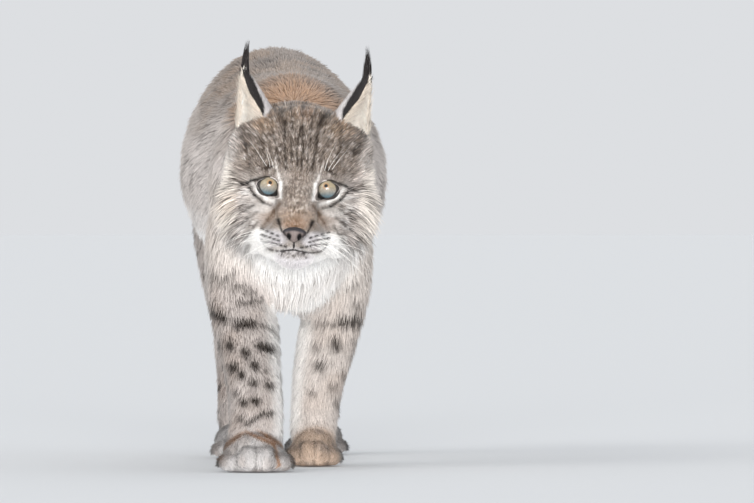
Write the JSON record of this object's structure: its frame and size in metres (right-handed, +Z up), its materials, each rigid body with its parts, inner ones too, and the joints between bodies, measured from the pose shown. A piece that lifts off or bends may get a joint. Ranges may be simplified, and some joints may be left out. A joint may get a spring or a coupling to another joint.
{
  "type": "eurasian lynx",
  "caption": "Life-size still model of a Eurasian lynx walking with its head carried low, with tufted ears, a facial ruff, broad paws and a short tail.",
  "frame": {"origin": "on the floor, under the middle of the whole animal's box", "axes": "+Z up, the animal faces -Y, its right side lies at -X"},
  "size_m": [0.2377, 0.8818, 0.4808],
  "materials": {
    "coat": "dense soft fur, grey-brown with dark spots",
    "ear_coat": "cream and black fur",
    "eye": "wet gloss",
    "nose_leather": "moist, finely pebbled"
  },
  "bodies": {
    "root": {"head": "coat", "neck": "coat", "torso": "coat", "tail": "coat", "ear_left": "ear_coat", "ear_right": "ear_coat", "foreleg_left": "coat", "foreleg_right": "coat", "forepaw_left": "coat", "forepaw_right": "coat", "hindleg_left": "coat", "hindleg_right": "coat", "hindpaw_left": "coat", "hindpaw_right": "coat", "eye_left": "eye", "eye_right": "eye", "nose": "nose_leather"}
  },
  "joints": []
}
